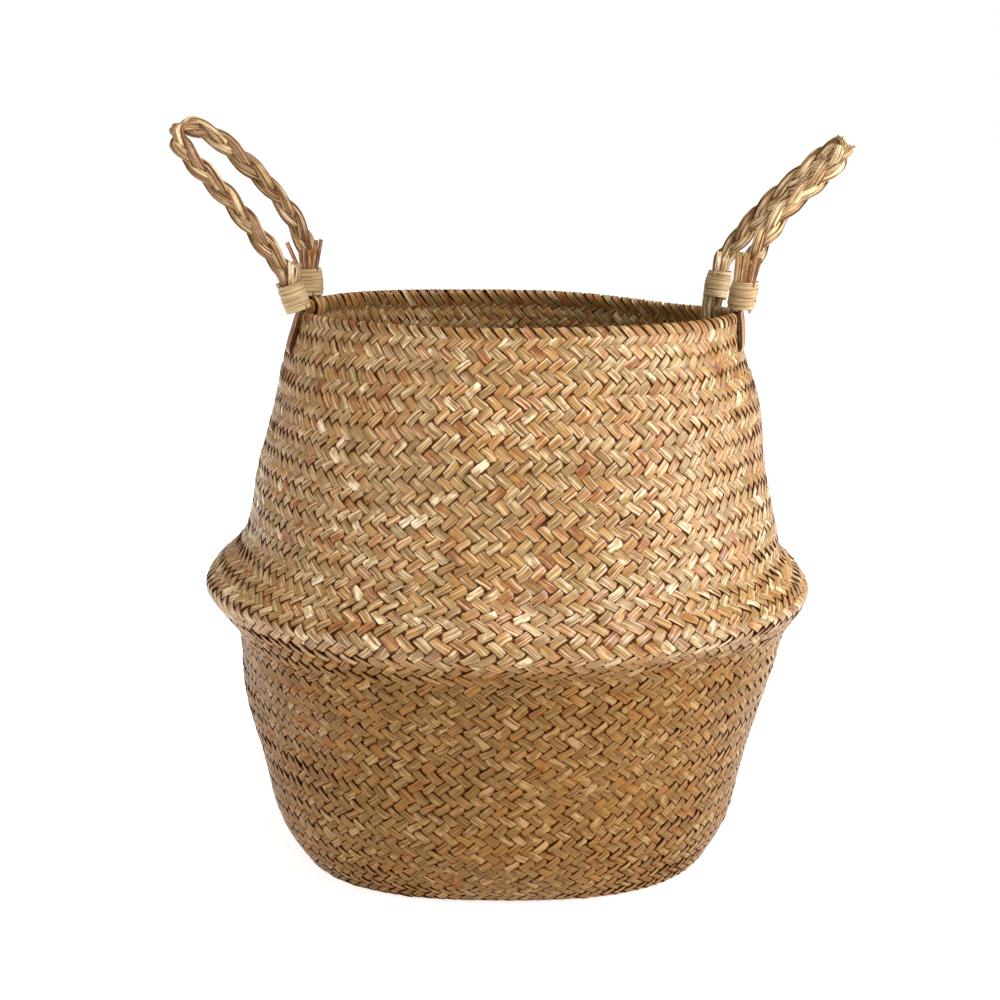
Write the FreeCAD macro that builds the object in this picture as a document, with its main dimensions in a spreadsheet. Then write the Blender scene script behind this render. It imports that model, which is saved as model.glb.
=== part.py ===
"""Seagrass belly basket: a twill-woven jar with a fold at its belly, a folded rim and two plaited handles.

The frame: origin at the centre of the base's underside, +Z up, the handles at -X and +X. Millimetres.
The wall leans a little as it rises, as a hand-made basket does. Each handle is a three-strand plait. At each
of its feet, stems go down inside the rim, out through the wall and up again, and a wrapped binding holds them
above the rim together with the plait's end. The plait bends just above the binding.
"""

import FreeCAD
import Part

import math
import os

import Sketcher

Vector = FreeCAD.Vector
Rotation = FreeCAD.Rotation

# The wall's levels from the floor up: name, height, outer radius, how far the circle's centre is towards +X.
LEVELS = [
    ("floor", 0.0, 106.0, 0.0),
    ("edge", 3.0, 112.0, -0.5),
    ("heel", 16.0, 121.3, -2.2),
    ("side", 48.0, 131.2, -1.6),
    ("flank", 82.0, 138.4, -0.3),
    ("waist", 118.0, 145.0, 1.0),
    ("crease", 128.0, 150.3, 1.2),
    ("hip", 136.0, 156.8, 1.2),
    ("belly", 142.0, 160.0, 1.0),
    ("crown", 150.0, 154.6, 0.4),
    ("slope", 158.0, 146.2, 0.6),
    ("shoulder", 166.0, 141.3, 1.5),
    ("chest", 182.0, 136.9, 2.4),
    ("throat", 212.0, 131.4, 3.2),
    ("collar", 247.5, 123.5, 4.6),
    ("band", 248.0, 123.3, 4.6),
    ("brow", 262.0, 119.0, 5.4),
    ("border", 277.0, 115.6, 6.7),
    ("rim", 284.0, 114.3, 7.6),
]

# The woven rings, each through its levels. The collar and the band are 0.5 mm apart, because they move apart.
RINGS = {
    "lower_wall": ["edge", "heel", "side", "flank", "waist"],
    "belly_fold_lower": ["waist", "crease", "hip", "belly"],
    "belly_fold_upper": ["belly", "crown", "slope", "shoulder"],
    "upper_wall": ["shoulder", "chest", "throat", "collar"],
    "rim_weave": ["band", "brow", "border"],
    "rim_border": ["border", "rim"],
}

# The other driving dimensions: alias, value in millimetres or degrees, what it is.
DIMENSIONS = [
    ("wall", 3.0, "thickness of the woven wall, two layers of flat stem"),
    ("border_proud", 1.0, "how far the border stands out of the wall, inside and outside"),
    ("hole_drop", 20.0, "how far below the rim the foot's stems pass through the wall"),
    ("hole_tall", 5.0, "height of that slot"),
    ("hole_wide", 12.4, "width of that slot round the wall"),
    ("hole_deep", 24.0, "depth of the block that cuts the slot"),
    ("stem_wide", 3.5, "width of one stem of a foot"),
    ("stem_thick", 2.3, "thickness of that stem"),
    ("stem_pitch", 3.7, "spacing of a foot's stems round the wall"),
    ("stem_clear", 0.4, "gap between a stem and the wall or border beside it"),
    ("stem_off", 1.3, "half the spacing of a stem's two legs inside the binding"),
    ("stem_gather", 6.0, "how far up the binding the two legs come together"),
    ("stem_short", 2.0, "how far below the binding's top the stems end"),
    ("binding_r", 7.3, "radius of the wrapped binding"),
    ("binding_tall", 15.0, "length of the binding"),
    ("end_wide", 2.8, "width of a cut end"),
    ("end_thick", 1.0, "thickness of a cut end"),
    ("end_tall", 10.5, "length of a cut end"),
    ("end_sunk", 1.5, "how much of the cut end is inside the binding's mouth"),
    ("end_off", 6.3, "how far inwards of the binding's axis the cut ends come out"),
    ("end_lean", 16.0, "how far the cut ends lean inwards of the binding's axis"),
    ("flex_gap", 5.6, "from the binding's top to the line about which the plait bends"),
    ("neck_gap", 0.4, "gap between the neck and the stems below it"),
    ("neck_short", 4.6, "how far below the line about which the plait bends the neck ends"),
    ("strand_r", 2.1, "radius of one strand of a plait"),
    ("plait_side", 4.2, "how far a strand swings from side to side of the plait's middle line"),
    ("plait_deep", 3.5, "how far a strand swings through the plait's thickness"),
    ("plait_period", 48.0, "length in which a strand swings to both sides once"),
]

# A handle's feet: bearing from +X, how far out of the wall's middle the binding stands, its outward tilt and
# the height of its lower end.
FEET = {
    "left_front": (195.0, 3.6, 18.0, 284.9),
    "left_rear": (165.0, 3.6, 3.0, 287.5),
    "right_front": (-15.0, 1.2, 10.0, 284.9),
    "right_rear": (22.0, 1.4, 13.0, 285.2),
}
FOOT_SIZES = ["turn", "out", "tilt", "low"]

# Each plait's middle line between its front and its rear foot, as points that it passes through.
HANDLE_LINES = {
    "left": [
        (-124.0, -28.0, 321.0),
        (-139.0, -22.5, 339.5),
        (-158.5, -14.5, 359.0),
        (-166.0, -8.5, 369.0),
        (-166.5, 1.0, 375.5),
        (-160.0, 9.0, 375.5),
        (-140.5, 17.5, 361.5),
        (-125.5, 22.5, 346.0),
        (-113.5, 27.5, 329.0),
    ],
    "right": [
        (127.5, -28.0, 317.5),
        (141.0, -22.0, 335.0),
        (158.5, -15.5, 350.0),
        (171.5, -5.5, 363.5),
        (171.0, 7.5, 365.5),
        (156.0, 19.0, 352.5),
        (138.0, 31.0, 333.5),
    ],
}
RINGS_PER_PERIOD = 10
STRAND_SIDES = 6

document = FreeCAD.newDocument("seagrass_belly_basket")
sheet = document.addObject("Spreadsheet::Sheet", "sizes")


def fill_sheet():
    """Writes every driving dimension into the sheet, with its alias and its meaning."""
    rows = []
    for name, height, radius, lean in LEVELS:
        rows.append((f"{name}_z", height, f"height of the {name}"))
        rows.append((f"{name}_r", radius, f"outer radius at the {name}"))
        rows.append((f"{name}_lean", lean, f"how far the {name}'s centre lies towards +X"))
    rows += DIMENSIONS
    for foot, values in FEET.items():
        for what, value in zip(FOOT_SIZES, values):
            rows.append((f"{foot}_{what}", value, f"{what} of the {foot} foot"))
    for number, (alias, value, meaning) in enumerate(rows, start=1):
        sheet.set(f"A{number}", alias)
        sheet.set(f"B{number}", str(value))
        sheet.set(f"C{number}", meaning)
        sheet.setAlias(f"B{number}", alias)
    document.recompute()


def size(alias):
    """A driving dimension, read back from the sheet."""
    return float(getattr(sheet, alias))


def origin_plane(body, role):
    """One of a body's own origin planes."""
    return next(f for f in body.Origin.OriginFeatures if f.Role == role)


def circle_sketch(body, name, level, grown):
    """A sketch of the circle at a level, its radius grown by an expression."""
    sketch = body.newObject("Sketcher::SketchObject", name)
    sketch.AttachmentSupport = [(origin_plane(body, "XY_Plane"), "")]
    sketch.MapMode = "FlatFace"
    sketch.setExpression("AttachmentOffset.Base.x", f"sizes.{level}_lean * 1 mm")
    sketch.setExpression("AttachmentOffset.Base.z", f"sizes.{level}_z * 1 mm")
    start_radius = size(f"{level}_r")
    sketch.addGeometry(Part.Circle(Vector(0, 0, 0), Vector(0, 0, 1), start_radius), False)
    sketch.addConstraint(Sketcher.Constraint("Coincident", 0, 3, -1, 1))
    radius = sketch.addConstraint(Sketcher.Constraint("Radius", 0, start_radius))
    sketch.setExpression(f"Constraints[{radius}]", f"(sizes.{level}_r + ({grown})) * 1 mm")
    return sketch


def loft(body, kind, name, levels, grown):
    """A loft through the circles at some levels."""
    sketches = [circle_sketch(body, f"{name}_{level}", level, grown) for level in levels]
    feature = body.newObject(kind, name)
    feature.Profile = sketches[0]
    feature.Sections = sketches[1:]
    return feature


def new_body(label):
    body = document.addObject("PartDesign::Body", label)
    body.Label = label
    return body


def make_ring(label, levels, outer_grown="0", inner_grown="-sizes.wall"):
    """A ring of wall: a loft through its outer circles, less a loft through its inner circles."""
    body = new_body(label)
    loft(body, "PartDesign::AdditiveLoft", f"{label}_outside", levels, outer_grown)
    document.recompute()
    full = body.Shape.Volume
    loft(body, "PartDesign::SubtractiveLoft", f"{label}_inside", levels, inner_grown)
    document.recompute()
    if not 0 < body.Shape.Volume < 0.25 * full:
        raise RuntimeError(f"{label}: its inside wasn't cut")
    return body


def make_base():
    """The woven base, a slab whose edge flares to meet the wall."""
    body = new_body("base_mat")
    loft(body, "PartDesign::AdditiveLoft", "base_mat_slab", ["floor", "edge"], "0")
    return body


def wall_middle(height):
    """The radius of the wall's middle and its centre's lean, at a height between the band and the rim."""
    levels = [(size(f"{n}_z"), size(f"{n}_r"), size(f"{n}_lean")) for n in ("band", "border", "rim")]
    for (low_z, low_r, low_lean), (high_z, high_r, high_lean) in zip(levels, levels[1:]):
        if height <= high_z:
            break
    share = (height - low_z) / (high_z - low_z)
    radius = low_r + (high_r - low_r) * share - size("wall") / 2
    return radius, low_lean + (high_lean - low_lean) * share


class Foot:
    """One foot of a handle, laid out in the upright plane that holds its bearing."""

    def __init__(self, name):
        self.name = name
        self.turn = size(f"{name}_turn")
        self.tilt = math.radians(size(f"{name}_tilt"))
        self.along = Vector(math.cos(math.radians(self.turn)), math.sin(math.radians(self.turn)), 0)
        self.round = Vector(-self.along.y, self.along.x, 0)
        rim_middle, rim_lean = wall_middle(size("rim_z"))
        self.centre = Vector(rim_lean, 0, 0)
        self.low = (rim_middle + size(f"{name}_out"), size(f"{name}_low"))

    def middle(self, height):
        """How far out the wall's middle is at a height, in this foot's plane."""
        radius, lean = wall_middle(height)
        return radius + (lean - self.centre.x) * self.along.x

    def up_binding(self, up, out=0.0):
        """A point in the plane, some way up the binding's axis and out from it."""
        lean, rise = math.sin(self.tilt), math.cos(self.tilt)
        return (self.low[0] + up * lean + out * rise, self.low[1] + up * rise - out * lean)

    def point(self, flat, across=0.0):
        """A point of the plane in the part's frame, some way across it."""
        return self.centre + self.along * flat[0] + self.round * across + Vector(0, 0, flat[1])

    def axis(self):
        """The direction of the binding's axis."""
        return self.along * math.sin(self.tilt) + Vector(0, 0, math.cos(self.tilt))

    def outward(self):
        """The direction square to the binding's axis that points away from the basket."""
        return self.along * math.cos(self.tilt) - Vector(0, 0, math.sin(self.tilt))

    def flex_point(self):
        """Where the plait bends, above the binding's top."""
        return self.point(self.up_binding(size("binding_tall") + size("flex_gap")))


def thicken(path, thickness):
    """The closed outline of a path in a plane, half the thickness to each side, its corners mitred."""
    sides = {1: [], -1: []}
    for i, (x, y) in enumerate(path):
        headings = []
        for (ax, ay), (bx, by) in zip(path[max(i - 1, 0):i + 1], path[max(i, 1):i + 2]):
            length = math.hypot(bx - ax, by - ay)
            headings.append(((bx - ax) / length, (by - ay) / length))
        if i == 0:
            first, last = headings[-1], headings[-1]
        else:
            first, last = headings[0], headings[-1]
        nx, ny = -(first[1] + last[1]) / 2, (first[0] + last[0]) / 2
        stretch = thickness / 2 / (nx * nx + ny * ny)
        for side, points in sides.items():
            points.append((x + side * nx * stretch, y + side * ny * stretch))
    return sides[1] + sides[-1][::-1]


def prism(foot, outline, across, width):
    """A slab: an outline in a foot's plane, extruded round the wall, centred some way across."""
    corners = [foot.point(flat, across - width / 2) for flat in outline]
    face = Part.Face(Part.makePolygon(corners + corners[:1]))
    return face.extrude(foot.round * width)


def stem_shapes(foot):
    """The stems of one foot: down inside the rim, out through the wall's slot and up outside."""
    beside_border = size("wall") / 2 + size("border_proud") + size("stem_clear") + size("stem_thick") / 2
    beside_wall = beside_border - size("border_proud") / 2
    rim, border = size("rim_z"), size("border_z")
    hole = rim - size("hole_drop")
    top = size("binding_tall") - size("stem_short")
    gather, off = size("stem_gather"), size("stem_off")
    path = [
        foot.up_binding(top, -off),
        foot.up_binding(gather, -off),
        (foot.middle(rim) - beside_border, rim + size("stem_thick")),
        (foot.middle(rim) - beside_border, rim),
        (foot.middle(border) - beside_border, border),
        (foot.middle(hole) - beside_wall, hole),
        (foot.middle(hole) + beside_wall, hole),
        (foot.middle(border) + beside_border, border),
        (foot.middle(rim) + beside_border, rim),
        foot.up_binding(gather, off),
        foot.up_binding(top, off),
    ]
    outline = thicken(path, size("stem_thick"))
    shifts = [size("stem_pitch") * step for step in (-1, 0, 1)]
    return [prism(foot, outline, shift, size("stem_wide")) for shift in shifts]


def add_feature(label, shape):
    """A sub-part whose shape comes from Part's own functions."""
    feature = document.addObject("Part::Feature", label)
    feature.Label = label
    feature.Shape = shape
    feature.Placement = FreeCAD.Placement()
    return feature


def make_foot(foot):
    """The stems, the wrapped binding, the cut ends and the plait's neck of one foot."""
    stems = add_feature(f"{foot.name}_stems", Part.makeCompound(stem_shapes(foot)))
    wraps = document.addObject("Part::Cylinder", f"{foot.name}_wraps")
    wraps.setExpression("Radius", "sizes.binding_r * 1 mm")
    wraps.setExpression("Height", "sizes.binding_tall * 1 mm")
    wraps.Placement = FreeCAD.Placement(foot.point(foot.low), Rotation(Vector(0, 0, 1), foot.axis()))
    held = [stems, make_cut_ends(foot), make_neck(foot)]
    names = ["wraps_round_stems", "wraps_round_ends", "binding"]
    for name, inner in zip(names, held):
        wrapped = document.addObject("Part::Cut", f"{foot.name}_{name}")
        wrapped.Base = wraps
        wrapped.Tool = inner
        wraps = wrapped
    return held + [wraps]


def make_cut_ends(foot):
    """Two flat stem ends that stand up out of the binding's mouth on its inner side."""
    start = foot.up_binding(size("binding_tall") - size("end_sunk"), -size("end_off"))
    heading = foot.tilt - math.radians(size("end_lean"))
    length = size("end_tall")
    end = (start[0] + length * math.sin(heading), start[1] + length * math.cos(heading))
    outline = thicken([start, end], size("end_thick"))
    gap = size("end_wide") * 0.55
    shapes = [prism(foot, outline, shift, size("end_wide")) for shift in (-gap, gap)]
    return add_feature(f"{foot.name}_cut_ends", Part.makeCompound(shapes))


def plait_offsets(travelled, number):
    """How far a strand is to the side of the plait's middle line, and through its thickness."""
    phase = math.tau * (travelled / size("plait_period") + number / 3)
    return size("plait_side") * math.sin(phase), size("plait_deep") * math.sin(2 * phase)


def make_neck(foot):
    """The short stretch of the plait's strands between the binding and the line about which it bends."""
    low = foot.up_binding(size("binding_tall") - size("stem_short") + size("neck_gap"))
    length = size("stem_short") - size("neck_gap") + size("flex_gap") - size("neck_short")
    shapes = []
    for number in range(3):
        across, out = plait_offsets(0.0, number)
        start = foot.point(low, out) + foot.outward() * across
        shapes.append(Part.makeCylinder(size("strand_r"), length, start, foot.axis()))
    return add_feature(f"{foot.name}_neck", Part.makeCompound(shapes))


def plait_line(side):
    """The middle line of one handle's plait, from its front flex point to its rear one."""
    front, rear = Foot(f"{side}_front"), Foot(f"{side}_rear")
    points = [front.flex_point()] + [Vector(*p) for p in HANDLE_LINES[side]] + [rear.flex_point()]
    line = Part.BSplineCurve()
    line.interpolate(Points=points)
    return line


def faceted_tube(points, radius):
    """A closed tube of flat triangles along some points, its first ring carried along without twist."""
    headings = [b - a for a, b in zip(points[:1] + points, points[1:] + points[-1:])]
    sideways = headings[0].cross(Vector(0, 0, 1))
    rings = []
    for point, heading in zip(points, headings):
        heading.normalize()
        sideways = (sideways - heading * sideways.dot(heading)).normalize()
        other = heading.cross(sideways)
        turns = [math.tau * side / STRAND_SIDES for side in range(STRAND_SIDES)]
        rings.append([point + (sideways * math.cos(t) + other * math.sin(t)) * radius for t in turns])
    corners = [rings[0], rings[-1]]
    for ring, following in zip(rings, rings[1:]):
        for side in range(STRAND_SIDES):
            beside = (side + 1) % STRAND_SIDES
            corners.append([ring[side], ring[beside], following[beside]])
            corners.append([ring[side], following[beside], following[side]])
    faces = [Part.Face(Part.makePolygon(outline + outline[:1])) for outline in corners]
    shell = Part.makeShell(faces)
    shell.sewShape()
    solid = Part.Solid(shell)
    return solid if solid.Volume > 0 else solid.reversed()


def make_plait(side):
    """The three strands of one handle."""
    line = plait_line(side)
    length = line.length()
    periods = round(length / size("plait_period"))
    count = periods * RINGS_PER_PERIOD
    start, end = line.value(line.FirstParameter), line.value(line.LastParameter)
    tip = line.value(line.parameterAtDistance(length / 2))
    loop_normal = (end - start).cross(tip - start).normalize()
    strands = []
    for number in range(3):
        points = []
        for step in range(count + 1):
            share = step / count
            parameter = line.parameterAtDistance(length * share)
            heading = line.tangent(parameter)[0]
            face = (loop_normal - heading * loop_normal.dot(heading)).normalize()
            across, out = plait_offsets(share * periods * size("plait_period"), number)
            points.append(line.value(parameter) + face * across + face.cross(heading) * out)
        tube = faceted_tube(points, size("strand_r"))
        strands.append(add_feature(f"{side}_handle_strand_{number + 1}", tube))
    print(side, "plait", round(length, 1), "mm long,", periods, "periods")
    return strands


def make_rim_weave(feet):
    """The stiff woven band under the border, with a slot for each foot's stems."""
    ring = make_ring("rim_weave_ring", RINGS["rim_weave"])
    blocks = []
    for foot in feet:
        block = document.addObject("Part::Box", f"{foot.name}_slot")
        block.setExpression("Length", "sizes.hole_deep * 1 mm")
        block.setExpression("Width", "sizes.hole_wide * 1 mm")
        block.setExpression("Height", "sizes.hole_tall * 1 mm")
        hole = size("rim_z") - size("hole_drop")
        corner = (foot.middle(hole) - size("hole_deep") / 2, hole - size("hole_tall") / 2)
        corner = foot.point(corner, -size("hole_wide") / 2)
        block.Placement = FreeCAD.Placement(corner, Rotation(Vector(0, 0, 1), foot.turn))
        blocks.append(block)
    slots = document.addObject("Part::MultiFuse", "rim_slots")
    slots.Shapes = blocks
    weave = document.addObject("Part::Cut", "rim_weave")
    weave.Base = ring
    weave.Tool = slots
    return weave


def check_and_write(parts):
    """Stops if any object failed or any sub-part isn't a valid solid, then writes each sub-part's file."""
    document.recompute()
    for thing in document.Objects:
        if {"Invalid", "Error"} & set(thing.State):
            raise RuntimeError(f"{thing.Name} failed: {thing.State}")
    for part in parts:
        if part.Shape.isNull() or not part.Shape.isValid() or not part.Shape.Solids:
            raise RuntimeError(f"{part.Label} has no valid solid")
    os.makedirs("parts", exist_ok=True)
    for part in parts:
        part.Shape.exportStep(f"parts/{part.Label}.step")
        print(part.Label, len(part.Shape.Solids), "solids,", round(part.Shape.Volume), "mm3")


def main():
    fill_sheet()
    feet = [Foot(name) for name in FEET]
    parts = [make_base()]
    plain_rings = ["lower_wall", "belly_fold_lower", "belly_fold_upper", "upper_wall"]
    parts += [make_ring(label, RINGS[label]) for label in plain_rings]
    parts.append(make_rim_weave(feet))
    proud, sunk = "sizes.border_proud", "-sizes.wall - sizes.border_proud"
    parts.append(make_ring("rim_border", RINGS["rim_border"], proud, sunk))
    for foot in feet:
        parts += make_foot(foot)
    for side in HANDLE_LINES:
        parts += make_plait(side)
    check_and_write(parts)
    for foot in feet:
        where = foot.flex_point()
        print(foot.name, "bends at", [round(value, 2) for value in where])


main()
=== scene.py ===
"""The seagrass belly basket's looks: every stem of its weave, border, bindings and plaits.

Metres, in the part's own frame: origin under the base's centre, +Z up, front at -Y. The weave is a
twill, over two and under two, of STRANDS stems that lean one way and as many that lean the other way.
They start in the base, which is their square mat, and rise to the rim. The crossing rows are numbered
from 0 at the base's edge up to ROWS at the rim, and fall below 0 towards the base's centre.
"""

import math

import bpy
import numpy as np
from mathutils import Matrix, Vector
from mathutils.bvhtree import BVHTree


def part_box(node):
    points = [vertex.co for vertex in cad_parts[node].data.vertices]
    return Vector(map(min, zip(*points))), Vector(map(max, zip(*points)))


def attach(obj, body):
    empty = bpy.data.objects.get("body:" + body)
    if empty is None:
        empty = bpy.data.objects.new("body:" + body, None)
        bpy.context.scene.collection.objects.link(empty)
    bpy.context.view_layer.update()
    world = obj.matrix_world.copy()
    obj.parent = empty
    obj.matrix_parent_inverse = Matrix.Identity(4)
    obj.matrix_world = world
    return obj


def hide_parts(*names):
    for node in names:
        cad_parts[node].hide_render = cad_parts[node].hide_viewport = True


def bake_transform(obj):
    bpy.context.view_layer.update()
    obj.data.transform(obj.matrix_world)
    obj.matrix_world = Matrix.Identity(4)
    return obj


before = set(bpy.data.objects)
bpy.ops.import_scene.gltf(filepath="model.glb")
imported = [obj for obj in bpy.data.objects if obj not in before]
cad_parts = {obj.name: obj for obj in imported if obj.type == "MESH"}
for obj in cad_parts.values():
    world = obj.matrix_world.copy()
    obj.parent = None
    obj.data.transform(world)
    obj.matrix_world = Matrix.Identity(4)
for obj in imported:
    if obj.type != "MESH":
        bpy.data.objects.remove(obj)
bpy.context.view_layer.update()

SEED = 7681
MM = 0.001

# ---------------- the wall's outline, from the frame

WALL_NODES = [
    "base_mat", "lower_wall", "belly_fold_lower", "belly_fold_upper", "upper_wall", "rim_weave",
]
RIM_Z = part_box("rim_border")[1][2]
BORDER_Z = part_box("rim_border")[0][2]
FOLD_Z = (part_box("belly_fold_lower")[0][2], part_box("belly_fold_upper")[1][2])
FABRIC = 1.5 * MM  # from the wall's outer face to the middle of the fabric
STRANDS = 120  # stems that lean each way
SIDES = 4  # sides of the square base
SIDE = STRANDS // SIDES  # how many of the stems start at each of them
FIRST_CORNER = math.radians(-135)  # the bearing of the base's first corner
WEAVE_TOP = RIM_Z - 5.5 * MM  # where the weave ends under the border
BASE_Z = 2.15 * MM  # height of the middle of the base's fabric
EDGE_ROUND = 5.0 * MM  # how far up the base's edge is rounded
EDGE_FLAT = 0.9 * EDGE_ROUND  # how far inside the wall's foot the flat of the base ends
EDGE_KNEE = (0.45 * EDGE_ROUND, 0.14 * EDGE_ROUND)  # how far out from there, and up, the rounding passes
CORNER_OUT = 0.044  # how far out the base's corners swing, as a share of its radius
CORNER_MEAN = 0.5  # how far out its whole edge is set, as a share of that swing
CORNER_FADE = 26 * MM  # how far up the wall the corners last
BASE_SQUARE = 1.19  # how much larger the mat's square is than its round edge
PROBE_FROM = 1.0  # how far out the rays start that feel for the wall
PROBES = 136  # heights at which they feel for it
OUTLINE_PLACES = 400  # places along the fabric's middle line
OUTLINE_TAIL = 6  # its last places, whose direction it keeps up to WEAVE_TOP
SMOOTHING = 6  # places on either side that smooth it
SHORT_STEP = 0.2 * MM  # too short to show
SLOPE_STEP = 1.0 * MM  # how far on either side the wall's slope is measured
CALM_LENGTH = 30 * MM  # how far the wall's bumps take to grow, from the base's edge and from the rim
CALM_PAST_RIM = 8 * MM  # how far past the end of the weave they are gone


def wall_probe():
    """For a height, the radius of the wall's outer face and how far its centre lies towards +X."""
    trees = []
    for name in WALL_NODES:
        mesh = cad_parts[name].data
        corners = [vertex.co for vertex in mesh.vertices]
        faces = [polygon.vertices for polygon in mesh.polygons]
        trees.append(BVHTree.FromPolygons(corners, faces))

    def probe(height):
        sides = []
        for heading in (-1, 1):
            start = Vector((heading * PROBE_FROM, 0, height))
            hits = [tree.ray_cast(start, Vector((-heading, 0, 0)))[0] for tree in trees]
            sides.append(max(heading * hit.x for hit in hits if hit))
        return (sides[0] + sides[1]) / 2, (sides[1] - sides[0]) / 2

    return probe


def make_outline():
    """The fabric's middle line up the wall: distance from the base's edge, radius, height and lean."""
    probe = wall_probe()
    levels = np.linspace(EDGE_ROUND, BORDER_Z - SHORT_STEP, PROBES)
    outer = np.array([probe(level) for level in levels])
    slope = np.gradient(outer[:, 0], levels)
    steep = np.hypot(1, slope)
    radius = outer[:, 0] - FABRIC / steep
    height = levels + FABRIC * slope / steep
    lean = outer[:, 1]
    flat = radius[0] - EDGE_FLAT
    radius = np.concatenate([[flat, flat + EDGE_KNEE[0]], radius])
    height = np.concatenate([[BASE_Z, BASE_Z + EDGE_KNEE[1]], height])
    lean = np.concatenate([[lean[0], lean[0]], lean])
    above = (WEAVE_TOP - height[-1]) / (height[-1] - height[-OUTLINE_TAIL])
    radius, height, lean = (
        np.append(values, values[-1] + above * (values[-1] - values[-OUTLINE_TAIL]))
        for values in (radius, height, lean)
    )
    along = np.concatenate([[0], np.cumsum(np.hypot(np.diff(radius), np.diff(height)))])
    even = np.linspace(0, along[-1], OUTLINE_PLACES)
    curves = [np.interp(even, along, values) for values in (radius, height, lean)]
    kernel = np.hanning(2 * SMOOTHING + 1)
    kernel /= kernel.sum()
    padded = [np.pad(values, SMOOTHING, "reflect", reflect_type="odd") for values in curves]
    radius, height, lean = (np.convolve(values, kernel, "valid") for values in padded)
    along = np.concatenate([[0], np.cumsum(np.hypot(np.diff(radius), np.diff(height)))])
    return along, radius, height, lean


ALONG, RADIUS, HEIGHT, LEAN = make_outline()
WALL_LENGTH = ALONG[-1]

REPEAT = 4  # crossing rows after which the twill repeats
LAST_ROW = 3  # the last row is this many past a whole number of repeats
ROW_PROBES = 2000  # places along the wall at which the rows are counted

# How tall one step of the twill is, two crossing rows, at some distances up the wall.
ROW_AT = np.array([0, 15, 40, 80, 112, 150, 200, 260, 305]) * MM
ROW_TALL = np.array([3.9, 4.2, 5.0, 5.6, 5.1, 5.6, 5.7, 5.9, 6.1]) * MM


def make_rows():
    """The number of the wall's last crossing row and how far up the wall each row is."""
    fine = np.linspace(0, WALL_LENGTH, ROW_PROBES)
    density = 2 / np.interp(fine, ROW_AT, ROW_TALL)
    count = np.concatenate([[0], np.cumsum((density[1:] + density[:-1]) / 2 * np.diff(fine))])
    last = REPEAT * round((count[-1] - LAST_ROW) / REPEAT) + LAST_ROW
    return last, np.interp(np.arange(last + 1), count * last / count[-1], fine)


ROWS, ROW_ALONG = make_rows()


def waves(seed, count, shortest):
    """Smooth random bumps, about -1 to 1: a function of bearing and distance up the wall. Each of
    the waves that add up to them goes round in whole turns and is at least shortest long up the wall."""
    source = np.random.default_rng(seed)
    turns = source.integers(1, 9, count)
    per_length = source.uniform(-1, 1, count) * math.tau / shortest
    phases = source.uniform(0, math.tau, count)
    size = 1.6 / np.sqrt(count)

    def bumps(bearing, along):
        total = np.zeros_like(bearing)
        for turn, rate, phase in zip(turns, per_length, phases):
            total += np.sin(turn * bearing + rate * along + phase)
        return total * size

    return bumps


BULGE = 0.9 * MM  # how far the hand-made wall strays in and out
CLIMB = 1.1 * MM  # how far its rows stray up and down
bulge = waves(SEED + 1, count=10, shortest=60 * MM)
climb = waves(SEED + 2, count=10, shortest=90 * MM)

# Where the hand-made wall sags or rises: bearing and height of the place, how much, and its spread in both.
SAGS = [
    (math.radians(38), 284 * MM, -4.6 * MM, math.radians(30), 40 * MM),
    (math.radians(150), 284 * MM, 2.3 * MM, math.radians(36), 40 * MM),
    (math.radians(-12), 143 * MM, -2.6 * MM, math.radians(55), 22 * MM),
    (math.radians(180), 150 * MM, 1.5 * MM, math.radians(55), 22 * MM),
]


def sag(bearing, height):
    """How far the wall's fabric is moved up at a place."""
    total = np.zeros_like(height)
    for turn, level, amount, wide, tall in SAGS:
        aside = np.angle(np.exp(1j * (bearing - turn)))
        total += amount * np.exp(-(aside / wide) ** 2 - ((height - level) / tall) ** 2)
    return total


def wall_point(bearing, along, out):
    """Points of the wall from arrays of bearing, distance up the wall and distance out of its middle."""
    to_go = WALL_LENGTH + CALM_PAST_RIM - along
    calm = np.clip(along / CALM_LENGTH, 0, 1) * np.clip(to_go / CALM_LENGTH, 0, 1)
    along = along + CLIMB * climb(bearing, along) * calm
    out = out + BULGE * bulge(bearing, along) * calm
    inside = np.clip(along, 0, WALL_LENGTH)
    beyond = along - inside
    radius, height, lean = (np.interp(inside, ALONG, values) for values in (RADIUS, HEIGHT, LEAN))
    ahead = np.clip(inside + SLOPE_STEP, 0, WALL_LENGTH)
    behind = np.clip(inside - SLOPE_STEP, 0, WALL_LENGTH)
    rise = np.interp(ahead, ALONG, HEIGHT) - np.interp(behind, ALONG, HEIGHT)
    flare = np.interp(ahead, ALONG, RADIUS) - np.interp(behind, ALONG, RADIUS)
    length = np.hypot(rise, flare)
    rise, flare = rise / length, flare / length
    radius = radius + beyond * flare + out * rise
    height = height + beyond * rise - out * flare
    height = height + sag(bearing, height)
    swing = CORNER_MEAN + np.cos(SIDES * (bearing - FIRST_CORNER))
    radius = radius * (1 + CORNER_OUT * swing * np.exp(-inside / CORNER_FADE))
    return np.stack([lean + radius * np.cos(bearing), radius * np.sin(bearing), height], -1)


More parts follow.
